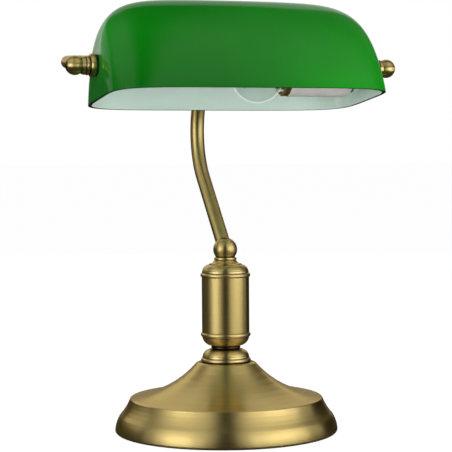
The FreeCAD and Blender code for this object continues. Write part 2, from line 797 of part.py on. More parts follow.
def rounded_wire(points, bends):
    """Straight runs through points, joined by tangent arcs of the given radii."""
    edges = []
    start = points[0]
    for before, point, after, radius in zip(points, points[1:], points[2:], bends):
        arrive = (point - before).normalize()
        leave = (after - point).normalize()
        half_turn = arrive.getAngle(leave) / 2
        reach = radius * math.tan(half_turn)
        arc_start = point - arrive * reach
        arc_end = point + leave * reach
        inward = (leave - arrive).normalize()
        middle = point + inward * (radius / math.cos(half_turn) - radius)
        edges.append(Part.LineSegment(start, arc_start).toShape())
        edges.append(Part.Arc(arc_start, middle, arc_end).toShape())
        start = arc_end
    edges.append(Part.LineSegment(start, points[-1]).toShape())
    return Part.Wire(edges)


def inner_lead():
    """Lead from the terminal block through the rod, arm, yoke and right-hand pivot to the lampholder."""
    half = size("dims.yoke_half")
    corner = YOKE_BACK + X_AXIS * half
    hub = PIVOT_POINT + X_AXIS * half
    block_top = size("dims.plate_top") + 10
    points = [
        Vector(0, 70, block_top),
        Vector(0, 70, 23),
        Vector(0, 30, 40),
        Vector(0, 0, 40),
        BALL_CENTRE,
        arm_corner(),
        YOKE_BACK,
        corner,
        hub,
        PIVOT_POINT + X_AXIS * 97,
    ]
    bends = [5, 20, 3, 4, size("dims.arm_bend"), 4, size("dims.yoke_bend"), 3]
    path = rounded_wire(points, bends)
    profile = Part.Wire(Part.Circle(points[0], Z_AXIS, size("dims.lead_radius")).toShape())
    item = doc.addObject("Part::Feature", "inner_lead")
    item.Shape = path.makePipeShell([profile], True, False)
    expected = path.Length * math.pi * size("dims.lead_radius") ** 2
    print(f"inner_lead volume over section times length: {item.Shape.Volume / expected:.3f}")
    keep(item, "inner_lead")


# ---------------------------------------------------------------- build and write


def write_parts():
    """Check every object, then write one file per sub-part."""
    doc.recompute()
    for item in doc.Objects:
        if "Invalid" in item.State or "Error" in item.State:
            raise RuntimeError(f"{item.Label}: {item.State}")
    for item in NODES:
        if item.Shape.isNull() or not item.Shape.isValid():
            raise RuntimeError(f"{item.Label}: shape is null or not valid")
    os.makedirs("parts", exist_ok=True)
    for item in NODES:
        item.Shape.exportStep(f"parts/{item.Label}.step")


base_shell()
base_floor()
base_weight()
cable_bushing()
terminal_block()
support_tube()
column()
neck_rings()
ball_coupling()
arm_tube()
yoke_tube()
arm_tee()
end_stack("left", -1)
end_stack("right", 1)
shade_glass()
lampholder()
holder_bracket()
bulb()
inner_lead()
write_parts()
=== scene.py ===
"""Looks of the banker desk lamp: turned and brushed antique brass, green cased glass, a clear bulb."""
import json
import math

import bmesh
import bpy
from mathutils import Matrix, Quaternion, Vector

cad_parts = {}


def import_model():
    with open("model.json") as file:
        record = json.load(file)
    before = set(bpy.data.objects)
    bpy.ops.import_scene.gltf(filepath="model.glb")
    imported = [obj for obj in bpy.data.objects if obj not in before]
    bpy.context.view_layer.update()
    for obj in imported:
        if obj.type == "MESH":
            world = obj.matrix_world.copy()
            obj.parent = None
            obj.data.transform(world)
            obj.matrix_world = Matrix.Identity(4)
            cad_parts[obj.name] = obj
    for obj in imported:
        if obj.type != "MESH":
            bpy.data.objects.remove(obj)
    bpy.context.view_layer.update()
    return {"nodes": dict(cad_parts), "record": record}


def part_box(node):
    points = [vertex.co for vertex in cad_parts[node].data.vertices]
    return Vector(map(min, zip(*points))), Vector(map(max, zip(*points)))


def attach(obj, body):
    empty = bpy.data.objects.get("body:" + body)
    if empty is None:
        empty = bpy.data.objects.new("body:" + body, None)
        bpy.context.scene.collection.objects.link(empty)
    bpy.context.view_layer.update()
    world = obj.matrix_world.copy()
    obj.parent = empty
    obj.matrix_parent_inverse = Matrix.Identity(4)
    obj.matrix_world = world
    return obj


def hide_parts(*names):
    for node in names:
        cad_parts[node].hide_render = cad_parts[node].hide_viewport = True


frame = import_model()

MM = 0.001
CAP_RADIUS = 20.95
ROD_HOLE = 5.2
SPUN_WALL = 1.2
PIVOT_HOLE = 5.05
CAMERA_YAW = 0.338
CAMERA_ROLL = math.radians(-0.4)
SMALL_BEVEL = 0.15
TURN_STEPS = 160
TUBE_STEPS = 48
LONGEST_RUN = 0.7
BEND_STEP = 3.0
BRUSH_TURN = 0.25

JOINTS = {joint["name"]: joint for joint in frame["record"]["behaviour"]["joints"]}
PIVOT = Vector(JOINTS["shade_tilt"]["pos_m"])
SHADE_TILT = math.radians(7.4)
GLASS_WALL = 3.0


# ---------------------------------------------------------------- material nodes


class Graph:
    """Short way to add and link shader nodes."""

    def __init__(self, name):
        self.material = bpy.data.materials.new(name)
        self.material.use_nodes = True
        self.nodes = self.material.node_tree.nodes
        self.links = self.material.node_tree.links
        self.surface = self.nodes["Principled BSDF"]

    def add(self, kind, inputs=None, **settings):
        node = self.nodes.new(kind)
        for key, value in settings.items():
            setattr(node, key, value)
        for key, value in (inputs or {}).items():
            self.put(node, key, value)
        return node

    def put(self, node, key, value):
        if isinstance(value, bpy.types.NodeSocket):
            self.links.new(value, node.inputs[key])
        else:
            node.inputs[key].default_value = value

    def set(self, **values):
        for key, value in values.items():
            self.put(self.surface, key.replace("_", " "), value)

    def math(self, operation, first, second=0.0, clamp=False):
        node = self.add("ShaderNodeMath", {0: first, 1: second}, operation=operation, use_clamp=clamp)
        return node.outputs[0]

    def noise(self, vector, scale, detail=4.0, roughness=0.6):
        inputs = {"Vector": vector, "Scale": scale, "Detail": detail, "Roughness": roughness}
        return self.add("ShaderNodeTexNoise", inputs).outputs["Fac"]

    def ramp(self, factor, *stops):
        node = self.add("ShaderNodeValToRGB", {"Fac": factor})
        for element, (place, colour) in zip(node.color_ramp.elements, (stops[0], stops[-1])):
            element.position = place
            element.color = (*colour, 1)
        for place, colour in stops[1:-1]:
            node.color_ramp.elements.new(place).color = (*colour, 1)
        return node.outputs["Color"]

    def span(self, value, low, high, start=0.0, end=1.0):
        inputs = {"Value": value, "From Min": start, "From Max": end, "To Min": low, "To Max": high}
        return self.add("ShaderNodeMapRange", inputs).outputs["Result"]

    def mix(self, factor, first, second):
        node = self.add("ShaderNodeMix", data_type="RGBA")
        for key, value in ((0, factor), (6, first), (7, second)):
            if not isinstance(value, (float, bpy.types.NodeSocket)):
                value = (*value, 1)
            self.put(node, key, value)
        return node.outputs[2]

    def bump(self, height, strength, distance):
        inputs = {"Height": height, "Strength": strength, "Distance": distance}
        return self.add("ShaderNodeBump", inputs).outputs["Normal"]

    def place(self):
        return self.add("ShaderNodeTexCoord").outputs["Object"]


def lay_vector(graph, around, along):
    """Periodic coordinates on a turned or bent piece, from its map of angle and length."""
    laid = graph.add("ShaderNodeUVMap", uv_map="lay").outputs["UV"]
    separate = graph.add("ShaderNodeSeparateXYZ", {"Vector": laid})
    angle = graph.math("MULTIPLY", separate.outputs["X"], 2 * math.pi)
    parts = {
        "X": graph.math("MULTIPLY", graph.math("COSINE", angle), around),
        "Y": graph.math("MULTIPLY", graph.math("SINE", angle), around),
        "Z": graph.math("MULTIPLY", separate.outputs["Y"], along),
    }
    return graph.add("ShaderNodeCombineXYZ", parts).outputs["Vector"]


def antique_brass(name, around, along, anisotropy):
    """Brushed brass with patina and painted shade in its recesses and rubbed wear with a painted highlight
    on its crests; around and along set how the brush lines run.
    """
    graph = Graph(name)
    lines = graph.noise(lay_vector(graph, around, along), 1.0, 4, 0.7)
    coarse = graph.noise(lay_vector(graph, around * 0.7, along * 0.22), 1.0, 3, 0.6)
    cloud = graph.noise(graph.place(), 30, 3, 0.55)
    patina_and_shade = graph.add("ShaderNodeAttribute", attribute_name="patina_and_shade").outputs["Fac"]
    wear_and_highlight = graph.add("ShaderNodeAttribute", attribute_name="wear_and_highlight").outputs["Fac"]
    tone = graph.math("ADD", graph.math("MULTIPLY", lines, 0.5), graph.math("MULTIPLY", coarse, 0.5))
    colour = graph.ramp(
        tone,
        (0.36, (0.58, 0.435, 0.150)),
        (0.5, (0.61, 0.465, 0.168)),
        (0.66, (0.64, 0.495, 0.188)),
    )
    colour = graph.mix(graph.span(cloud, 0.0, 0.35, 0.5, 0.8), colour, (0.53, 0.38, 0.115))
    # rubbed wear and painted highlight: crests turn a lighter brass
    colour = graph.mix(graph.math("MULTIPLY", wear_and_highlight, 0.6, clamp=True), colour, (0.78, 0.62, 0.28))
    # patina and painted shade: recesses darken towards near black
    colour = graph.mix(graph.math("MULTIPLY", patina_and_shade, 0.92, clamp=True), colour, (0.03, 0.018, 0.006))
    graph.set(
        Base_Color=colour,
        Metallic=1.0,
        Roughness=graph.span(tone, 0.31, 0.37, 0.35, 0.65),
        Anisotropic=anisotropy,
        Anisotropic_Rotation=BRUSH_TURN,
        Tangent=graph.add("ShaderNodeTangent", direction_type="UV_MAP", uv_map="lay").outputs["Tangent"],
        Normal=graph.bump(tone, 0.014, 0.0002),
        Specular_Tint=(0.92, 0.78, 0.5, 1),
        Coat_Weight=0.18,
        Coat_Roughness=0.2,
        Coat_IOR=1.7,
    )
    return graph.material


def cast_brass():
    """Satin antique brass of the pieces that are not turned, with a fine grain and cloudy darker patches."""
    graph = Graph("brass_cast")
    grain = graph.noise(graph.place(), 700, 3, 0.6)
    cloud = graph.noise(graph.place(), 60, 3, 0.55)
    colour = graph.ramp(
        grain,
        (0.36, (0.50, 0.37, 0.13)),
        (0.5, (0.58, 0.44, 0.155)),
        (0.66, (0.64, 0.49, 0.18)),
    )
    graph.set(
        Base_Color=graph.mix(graph.span(cloud, 0.0, 0.5, 0.45, 0.8), colour, (0.44, 0.31, 0.095)),
        Metallic=1.0,
        Roughness=graph.span(grain, 0.32, 0.42, 0.35, 0.65),
        Normal=graph.bump(grain, 0.08, 0.0002),
    )
    return graph.material


def green_glass():
    """Polished outside of the shade: green glass over opal, with painted shade that darkens the green
    towards the lower end at low X.
    """
    graph = Graph("green_cased_glass")
    cloud = graph.noise(graph.place(), 9, 2, 0.5)
    fine = graph.noise(graph.place(), 160, 2, 0.5)
    colour = graph.ramp(
        cloud,
        (0.3, (0.003, 0.265, 0.005)),
        (0.5, (0.005, 0.32, 0.007)),
        (0.72, (0.008, 0.375, 0.010)),
    )
    # painted shade: the green darkens towards the lower end at low X, and depth sets how strongly
    separate = graph.add("ShaderNodeSeparateXYZ", {"Vector": graph.place()})
    left = graph.span(separate.outputs["X"], 1.0, 0.0, -0.03, 0.07)
    low = graph.span(separate.outputs["Z"], 1.0, 0.3, 0.300, 0.345)
    depth = graph.math("MULTIPLY", left, low, clamp=True)
    graph.set(
        Base_Color=graph.mix(depth, colour, (0.004, 0.165, 0.006)),
        Roughness=graph.span(fine, 0.10, 0.15),
        IOR=1.5,
        Specular_IOR_Level=0.25,
        Sheen_Weight=0.2,
        Sheen_Roughness=0.25,
        Normal=graph.bump(graph.noise(graph.place(), 30, 2, 0.5), 0.02, 0.002),
    )
    return graph.material


def opal_glass():
    """Opal inside of the shade."""
    graph = Graph("opal_glass")
    cloud = graph.noise(graph.place(), 14, 3, 0.5)
    graph.set(
        Base_Color=graph.ramp(cloud, (0.3, (0.64, 0.82, 0.72)), (0.7, (0.71, 0.87, 0.78))),
        Roughness=graph.span(cloud, 0.16, 0.26),
        IOR=1.5,
        Subsurface_Weight=0.2,
        Subsurface_Radius=(0.004, 0.006, 0.004),
    )
    return graph.material


def rim_glass():
    """Fire-polished rim, where the green layer is seen edge on."""
    graph = Graph("rim_glass")
    streak = graph.noise(graph.place(), 220, 3, 0.6)
    graph.set(
        Base_Color=graph.ramp(streak, (0.3, (0.006, 0.018, 0.008)), (0.7, (0.012, 0.035, 0.014))),
        Roughness=0.45,
        Specular_IOR_Level=0.2,
    )
    return graph.material


def clear_glass():
    """Thin clear glass: light passes straight through, it mirrors more at edges, and a painted glow makes
    its outline whiter.
    """
    graph = Graph("clear_glass")
    waves = graph.noise(graph.place(), 60, 2, 0.5)
    skin = graph.bump(waves, 0.03, 0.001)
    tint = graph.ramp(waves, (0.2, (0.93, 0.96, 0.95)), (0.8, (0.98, 1.0, 0.99)))
    clear = graph.add("ShaderNodeBsdfTransparent", {"Color": tint})
    mirror = graph.add("ShaderNodeBsdfAnisotropic", {"Roughness": 0.03, "Normal": skin})
    # painted glow: an emission makes the bulb's outline whiter
    painted_glow = graph.add("ShaderNodeEmission", {"Color": tint, "Strength": 0.85})
    edge = graph.add("ShaderNodeLayerWeight", {"Blend": 0.12}).outputs["Facing"]
    sheen = graph.span(edge, 0.02, 0.4)
    inside = graph.add("ShaderNodeMixShader", {0: sheen, 1: clear.outputs[0], 2: mirror.outputs[0]})
    outline = graph.span(edge, 0.0, 0.9, 0.2, 0.45)
    mixed = graph.add("ShaderNodeMixShader", {0: outline, 1: inside.outputs[0], 2: painted_glow.outputs[0]})
    graph.links.new(mixed.outputs[0], graph.nodes["Material Output"].inputs["Surface"])
    graph.nodes.remove(graph.surface)
    return graph.material


def moulded(name, colour, roughness, grain=900, depth=0.05, coat=0.0):
    """Moulded plastic, ceramic or rubber with a fine skin and a little unevenness in colour."""
    graph = Graph(name)
    skin = graph.noise(graph.place(), grain, 3, 0.6)
    cloud = graph.noise(graph.place(), 45, 3, 0.5)
    darker = tuple(channel * 0.86 for channel in colour)
    graph.set(
        Base_Color=graph.mix(graph.span(cloud, 0.0, 1.0, 0.35, 0.7), colour, darker),
        Roughness=graph.span(skin, roughness - 0.05, roughness + 0.08),
        Normal=graph.bump(skin, depth, 0.0004),
        Coat_Weight=coat,
    )
    return graph.material


def plated(name, light, dark, roughness, grain=400):
    """Plain metal: plated, rolled or cast."""
    graph = Graph(name)
    speck = graph.noise(graph.place(), grain, 5, 0.7)
    cloud = graph.noise(graph.place(), 60, 3, 0.6)
    colour = graph.mix(graph.span(cloud, 0.0, 0.8, 0.35, 0.75), light, dark)
    graph.set(
        Base_Color=colour,
        Metallic=1.0,
        Roughness=graph.span(speck, roughness - 0.08, roughness + 0.14),
        Normal=graph.bump(speck, 0.1, 0.0003),
    )
    return graph.material


def felt():
    """Pressed fibres of the pad under the foot."""
    graph = Graph("felt")
    fibres = graph.noise(graph.place(), 2200, 6, 0.8)
    graph.set(
        Base_Color=graph.ramp(fibres, (0.3, (0.008, 0.022, 0.012)), (0.7, (0.03, 0.07, 0.038))),
        Roughness=0.95,
        Sheen_Weight=0.4,
        Normal=graph.bump(fibres, 0.5, 0.0006),
    )
    return graph.material


MATERIALS = {
    "antique_brass": antique_brass("brass_turned", 1.2, 5200, 0.85),
    "brass_tube": antique_brass("brass_tube", 9.0, 60, 0.8),
    "brass_cast": cast_brass(),
    "green_glass": green_glass(),
    "opal": opal_glass(),
    "rim": rim_glass(),
    "clear_glass": clear_glass(),
    "white_plastic": moulded("white_plastic", (0.72, 0.70, 0.66), 0.3, coat=0.3),
    "black_plastic": moulded("black_plastic", (0.02, 0.02, 0.02), 0.5),
    "terminal_plastic": moulded("terminal_plastic", (0.6, 0.6, 0.55), 0.45),
    "lead_insulation": moulded("lead_insulation", (0.6, 0.6, 0.58), 0.4),
    "zinc_steel": plated("zinc_steel", (0.62, 0.62, 0.6), (0.45, 0.44, 0.4), 0.32),
    "plate_steel": plated("plate_steel", (0.34, 0.34, 0.34), (0.22, 0.21, 0.2), 0.45),
    "ballast_iron": plated("ballast_iron", (0.12, 0.12, 0.12), (0.05, 0.045, 0.04), 0.7, 900),
    "contact_brass": plated("contact_brass", (0.72, 0.56, 0.28), (0.5, 0.36, 0.16), 0.25),
    "bulb_metal": plated("bulb_metal", (0.75, 0.75, 0.76), (0.6, 0.6, 0.6), 0.22),
    "tungsten": plated("tungsten", (0.32, 0.32, 0.33), (0.2, 0.2, 0.2), 0.4),
    "felt": felt(),
}


# ---------------------------------------------------------------- mesh tools


def slot_of(node):
    """Record's material slot of a CAD node."""
    return next(part["material_slot"] for part in frame["record"]["subparts"] if part["node"] == node)


def body_of(node):
    """Body that a CAD node belongs to."""
    bodies = frame["record"]["behaviour"]["bodies"]
    return next(body for body, nodes in bodies.items() if node in nodes)


def finish_piece(mesh, name, node, material, smooth_angle=35):
    """Make an object of a mesh, shade it and let it stand for its CAD node."""
    mesh.shade_smooth()
    mesh.set_sharp_from_angle(angle=math.radians(smooth_angle))
    piece = bpy.data.objects.new(name, mesh)
    bpy.context.scene.collection.objects.link(piece)
    if not mesh.materials:
        mesh.materials.append(MATERIALS[material])
    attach(piece, body_of(node))
    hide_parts(node)
    return piece


def arc_centre(start, end, bulge):
    """Centre of the arc from start to end; a positive radius bulges away from the axis on the way up."""
    chord = end - start
    reach = math.sqrt(max(bulge**2 - chord.length_squared / 4, 0.0))
    normal = Vector((-chord.y, chord.x)).normalized() * math.copysign(1, bulge)
    return (start + end) / 2 - normal * reach


def arc_points(start, end, bulge):
    """Points on the arc from start to end, a few degrees apart."""
    centre = arc_centre(start, end, bulge)
    turn = 2 * math.asin(min((end - start).length / 2 / abs(bulge), 1.0))
    count = max(2, math.ceil(math.degrees(turn) / 6))
    first = start - centre
    sign = -math.copysign(1, bulge)
    return [centre + Matrix.Rotation(sign * turn * step / count, 2) @ first for step in range(1, count + 1)]


def outline_points(vertices, bevel):
    """Closed outline with its arcs drawn out and its plain corners eased, as (along, radius) points."""
    places = [Vector(vertex[:2]) for vertex in vertices]
    points = []
    for number, vertex in enumerate(vertices):
        before = places[number - 1]
        here = places[number]
        after = places[(number + 1) % len(places)]
        next_arc = len(vertices[(number + 1) % len(vertices)]) == 3
        if len(vertex) == 3:
            points.extend(arc_points(before, here, vertex[2]))
        elif next_arc or here.y < 1e-6:
            points.append(here)
        else:
            back, onward = (before - here), (after - here)
            ease = min(bevel, back.length * 0.4, onward.length * 0.4)
            into, out = here + back.normalized() * ease, here + onward.normalized() * ease
            points.extend([into, (into + out) / 4 + here / 2, out])
    return points


def dense(points, spacing):
    """Closed outline with its long straight runs divided."""
    result = []
    for number, point in enumerate(points):
        after = points[(number + 1) % len(points)]
        count = max(1, math.ceil((after - point).length / spacing))
        result.extend(point.lerp(after, step / count) for step in range(count))
    return result


class Profile:
    """Silhouette of the pieces turned on one axis, which tells how deep a groove or how proud a ridge is."""

    def __init__(self, reach=2.4, step=0.1):
        self.reach = reach
        self.step = step
        self.radii = {}

    def cell(self, along):
        return round(along / self.step)

    def include(self, outline):
        for first, second in zip(outline, outline[1:] + outline[:1]):
            low, high = sorted((first, second), key=lambda point: point.x)
            for place in range(self.cell(low.x), self.cell(high.x) + 1):
                share = (place * self.step - low.x) / max(high.x - low.x, 1e-6)
                radius = low.lerp(high, min(max(share, 0.0), 1.0)).y
                self.radii[place] = max(self.radii.get(place, 0.0), radius)

    def rolled(self, radii, sign):
        """Silhouette after a ball of the reach has rolled along its outside (+1) or inside (-1)."""
        span = round(self.reach / self.step)
        shifts = [shift * self.step for shift in range(-span, span + 1)]
        rise = [math.sqrt(max(self.reach**2 - shift**2, 0)) for shift in shifts]
        result = {}
        for place in radii:
            around = zip(range(place - span, place + span + 1), rise)
            reached = [sign * radii[other] + lift for other, lift in around if other in radii]
            result[place] = max(reached) * sign
        return result

    def settle(self):
        """Work out the closed and opened silhouettes."""
        grown = self.rolled(self.radii, 1)
        self.closed = self.rolled(grown, -1)
        shrunk = self.rolled(self.radii, -1)
        self.opened = self.rolled(shrunk, 1)

    # patina and painted shade: how far a point lies below the closed silhouette
    def patina_and_shade(self, point):
        place = self.cell(point.x)
        return min(max((self.closed.get(place, point.y) - point.y - 0.12) / 0.7, 0.0), 1.0)

    # rubbed wear and painted highlight: how far the skin stands proud of the opened silhouette
    def wear_and_highlight(self, point):
        place = self.cell(point.x)
        proud = self.radii.get(place, 0.0) - self.opened.get(place, 0.0)
        on_skin = abs(point.y - self.radii.get(place, 0.0)) < 0.2
        return min(max((proud - 0.02) / 0.15, 0.0), 1.0) if on_skin else 0.0


TURNED = []


def turned(
    node, vertices, axis, origin, way=1, material="antique_brass", steps=TURN_STEPS, bevel=SMALL_BEVEL
):
    """Note down a piece turned about an axis from an outline in millimetres; turn_all makes it."""
    outline = dense(outline_points(vertices, bevel), LONGEST_RUN)
    along = origin[0] if axis == "X" else origin[2]
    placed = [Vector((point.x * way + along / MM, point.y)) for point in outline]
    TURNED.append((node, placed, axis, origin, material, steps))


def turn_all():
    """Make every noted piece, with one silhouette for each axis."""
    groups = {}
    for item in TURNED:
        key = (item[2], round(item[3][1], 4), round(item[3][2], 4) if item[2] == "X" else 0)
        groups.setdefault(key, []).append(item)
    for group in groups.values():
        profile = Profile()
        for _, placed, *_ in group:
            profile.include(placed)
        profile.settle()
        for item in group:
            turn_one(item, profile)


def turn_one(item, profile):
    """Mesh of one turned piece, with a map of angle and length, its patina and painted shade in recesses and
    its rubbed wear and painted highlight on crests.
    """
    node, points, axis, origin, material, steps = item
    count = len(points)
    lengths = [0.0]
    for first, second in zip(points, points[1:] + points[:1]):
        lengths.append(lengths[-1] + (second - first).length * MM)
    build = bmesh.new()
    # layer for the patina and painted shade in recesses
    patina_and_shade = build.verts.layers.float.new("patina_and_shade")
    # layer for the rubbed wear and painted highlight on crests
    wear_and_highlight = build.verts.layers.float.new("wear_and_highlight")
    lay = build.loops.layers.uv.new("lay")
    rings = []
    for point in points:
        ring = []
        for step in range(steps if point.y > 1e-6 else 1):
            angle = 2 * math.pi * step / steps
            across, up = point.y * math.cos(angle) * MM, point.y * math.sin(angle) * MM
            if axis == "X":
                place = Vector((point.x * MM, origin[1] + across, origin[2] + up))
            else:
                place = Vector((origin[0] + across, origin[1] + up, point.x * MM))
            vert = build.verts.new(place)
            vert[patina_and_shade] = profile.patina_and_shade(point)
            vert[wear_and_highlight] = profile.wear_and_highlight(point)
            ring.append(vert)
        rings.append(ring)
    for number in range(count):
        low, high = rings[number], rings[(number + 1) % count]
        if len(low) == 1 and len(high) == 1:
            continue
        for step in range(steps):
            after = (step + 1) % steps
            if len(low) == 1:
                corners = [(low[0], 0.5, 0), (high[after], 1, 1), (high[step], 0, 1)]
            elif len(high) == 1:
                corners = [(low[step], 0, 0), (low[after], 1, 0), (high[0], 0.5, 1)]
            else:
                corners = [(low[step], 0, 0), (low[after], 1, 0), (high[after], 1, 1), (high[step], 0, 1)]
            face = build.faces.new([corner[0] for corner in corners])
            for loop, (_, turn, end) in zip(face.loops, corners):
                loop[lay].uv = ((step + turn) / steps, lengths[number + end])
    bmesh.ops.recalc_face_normals(build, faces=build.faces)
    mesh = bpy.data.meshes.new(node)
    build.to_mesh(mesh)
    build.free()
    return finish_piece(mesh, f"{node}_turned", node, material)


def smooth_path(corners, bends):
    """Points along straight runs joined by tangent arcs, close together in the arcs."""
    points = [corners[0]]
    for before, here, after, bend in zip(corners, corners[1:], corners[2:], bends):
        into, out = (here - before).normalized(), (after - here).normalized()
        turn = into.angle(out)
        reach = bend * math.tan(turn / 2)
        start = here - into * reach
        axis = into.cross(out).normalized()
        centre = start + axis.cross(into) * bend
        count = math.ceil(math.degrees(turn) / BEND_STEP)
        for step in range(count + 1):
            spin = Matrix.Rotation(turn * step / count, 3, axis)
            points.append(centre + spin @ (start - centre))
    points.append(corners[-1])
    return points


def tube(node, points, radius, bore):
    """Hollow round tube along a path, with a map of angle and length."""
    around = TUBE_STEPS
    build = bmesh.new()
    build.verts.layers.float.new("patina_and_shade")
    lay = build.loops.layers.uv.new("lay")
    tangents = []
    for number in range(len(points)):
        ahead = points[min(number + 1, len(points) - 1)]
        behind = points[max(number - 1, 0)]
        tangents.append((ahead - behind).normalized())
    normal = tangents[0].orthogonal().normalized()
    outer, inner, lengths = [], [], [0.0]
    for number, (point, tangent) in enumerate(zip(points, tangents)):
        normal = (normal - tangent * normal.dot(tangent)).normalized()
        side = tangent.cross(normal)
        for rings, size in ((outer, radius), (inner, bore)):
            ring = []
            for step in range(around):
                angle = 2 * math.pi * step / around
                outward = normal * math.cos(angle) + side * math.sin(angle)
                ring.append(build.verts.new(point + outward * size))
            rings.append(ring)
        if number:
            lengths.append(lengths[-1] + (point - points[number - 1]).length)

    def skin(rings, flip):
        for number in range(len(rings) - 1):
            for step in range(around):
                after = (step + 1) % around
                corners = [
                    (rings[number][step], step, number),
                    (rings[number][after], step + 1, number),
                    (rings[number + 1][after], step + 1, number + 1),
                    (rings[number + 1][step], step, number + 1),
                ]
                if flip:
                    corners.reverse()
                face = build.faces.new([corner[0] for corner in corners])
                for loop, (_, turn, end) in zip(face.loops, corners):
                    loop[lay].uv = (turn / around, lengths[end])

    skin(outer, False)
    skin(inner, True)
    for end in (0, -1):
        for step in range(around):
            after = (step + 1) % around
            build.faces.new([outer[end][step], outer[end][after], inner[end][after], inner[end][step]])
    bmesh.ops.recalc_face_normals(build, faces=build.faces)
    mesh = bpy.data.meshes.new(node)
    build.to_mesh(mesh)
    build.free()
    return finish_piece(mesh, f"{node}_bent", node, "brass_tube")


# ---------------------------------------------------------------- foot and column


def foot():
    """Spun shell with a rolled lip, a flared band, a ridge and an ogee."""
    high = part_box("base_shell")[1]
    edge = high.x / MM
    top = high.z / MM
    turned(
        "base_shell",
        [
            (0, edge - 2.6),
            (2.2, edge, 2.6),
            (13.6, edge - 3.4, 26),
            (14.6, edge - 4.0),
            (28.6, edge - 12.8, -45),
            (30.2, edge - 14.4, 2),
            (top - 2.0, 27.2, -87),
            (top, 23.6, 4.5),
            (top, ROD_HOLE),
            (top - SPUN_WALL, ROD_HOLE),
            (top - SPUN_WALL, 22.8),
            (top - 3.2, 26.4),
            (28.8, edge - 17.4, 87),
            (25.4, edge - 13.3),
            (12.0, edge - 4.4, 23),
            (3.4, edge - 1.4),
            (1.6, edge - 3.7),
            (0, edge - 3.7),
        ],
        "Z",
        (0, 0, 0),
        steps=256,
    )


def spun_cap(node, way, fullness):
    """Beaded cap with fine lines above the bead and a domed shoulder."""
    low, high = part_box(node)
    height = (high.z - low.z) / MM
    rim = CAP_RADIUS
    start = low.z if way > 0 else high.z
    shoulder, crown = Vector((4.2, rim - 0.35)), Vector((height, rim - 6.9))
    centre = arc_centre(shoulder, crown, fullness)

    def skin(along):
        return centre.y + math.sqrt(fullness**2 - (along - centre.x) ** 2)

    turned(
        node,
        [
            (0, rim - 1.4),
            (0, rim),
            (3.5, rim, 2.1),
            (3.75, rim - 0.75),
            (4.1, rim - 0.75),
            (4.2, rim - 0.35),
            (5.6, skin(5.6), fullness),
            (5.75, skin(5.75) - 0.3),
            (5.95, skin(5.95) - 0.3),
            (6.1, skin(6.1)),
            (height, rim - 6.9, fullness),
            (height, ROD_HOLE),
            (height - SPUN_WALL, ROD_HOLE),
            (height - SPUN_WALL, rim - 8.2),
            (4.2, rim - 2.2, fullness - 0.8),
        ],
        "Z",
        (0, 0, start),
        way,
    )


def column():
    """Caps, sleeve, neck rings and ball."""
    spun_cap("collar_dome", 1, 7.6)
    spun_cap("body_cup", -1, 9.0)
    spun_cap("body_cap", 1, 7.6)
    low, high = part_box("body_tube")
    radius, height = high.x / MM, (high.z - low.z) / MM
    inner = radius - SPUN_WALL
    sleeve = [(0, inner), (0, radius), (height, radius), (height, inner)]
    turned("body_tube", sleeve, "Z", (0, 0, low.z))
    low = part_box("lower_neck_ring")[0]
    ring = [(0, ROD_HOLE), (0, 11.6), (0.6, 12.2), (2.8, 12.2, 1.25), (3.4, 11.0), (3.4, ROD_HOLE)]
    turned("lower_neck_ring", ring, "Z", (0, 0, low.z))
    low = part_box("upper_neck_ring")[0]
    neck = [
        (0, ROD_HOLE),
        (0, 14.2),
        (0.5, 14.2),
        (3.3, 9.9, -5),
        (3.7, 9.2),
        (6.1, 9.2, 1.3),
        (6.3, 8.8),
        (6.3, ROD_HOLE),
    ]
    turned("upper_neck_ring", neck, "Z", (0, 0, low.z))
    low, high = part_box("ball_coupling")
    radius = high.x / MM
    height = (high.z - low.z) / MM
    flat = math.sqrt(radius**2 - (height - radius) ** 2)
    socket = height - 12
    ball = [(0, ROD_HOLE), (0, flat), (height, 0, radius), (socket, 0), (socket, ROD_HOLE)]
    turned("ball_coupling", ball, "Z", (0, 0, low.z))


# ---------------------------------------------------------------- arm and yoke


def arm_and_yoke():
    """Bent tubes of the arm and the yoke."""
    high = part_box("yoke_tube")[1]
    rise = math.radians(5.25)
    radius = 5.5 * MM
    back = Vector((0, math.cos(rise), math.sin(rise)))
    half = high.x - radius
    depth = 87.4 * MM
    bar = PIVOT + back * depth
    corners = [
        PIVOT + Vector((-half, 0, 0)) + back * 5.6 * MM,
        bar + Vector((-half, 0, 0)),
        bar + Vector((half, 0, 0)),
        PIVOT + Vector((half, 0, 0)) + back * 5.6 * MM,
    ]
    tube("yoke_tube", smooth_path(corners, [20 * MM, 20 * MM]), radius, 4.4 * MM)
    ball_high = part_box("ball_coupling")[1]
    ball = Vector((0, 0, ball_high.z - ball_high.x))
    lean, forward = math.radians(43.4), math.radians(19.5)
    out = Vector((0, math.sin(lean), math.cos(lean)))
    onto = Vector((0, -math.sin(forward), math.cos(forward)))
    gap = bar - ball
    reach = (gap.y * onto.z - gap.z * onto.y) / (out.y * onto.z - out.z * onto.y)
    corner = ball + out * reach
    path = smooth_path([ball + out * 5 * MM, corner, bar - onto * 9 * MM], [60 * MM])
    tube("arm_tube", path, 6.3 * MM, 5.0 * MM)


# ---------------------------------------------------------------- ends of the yoke


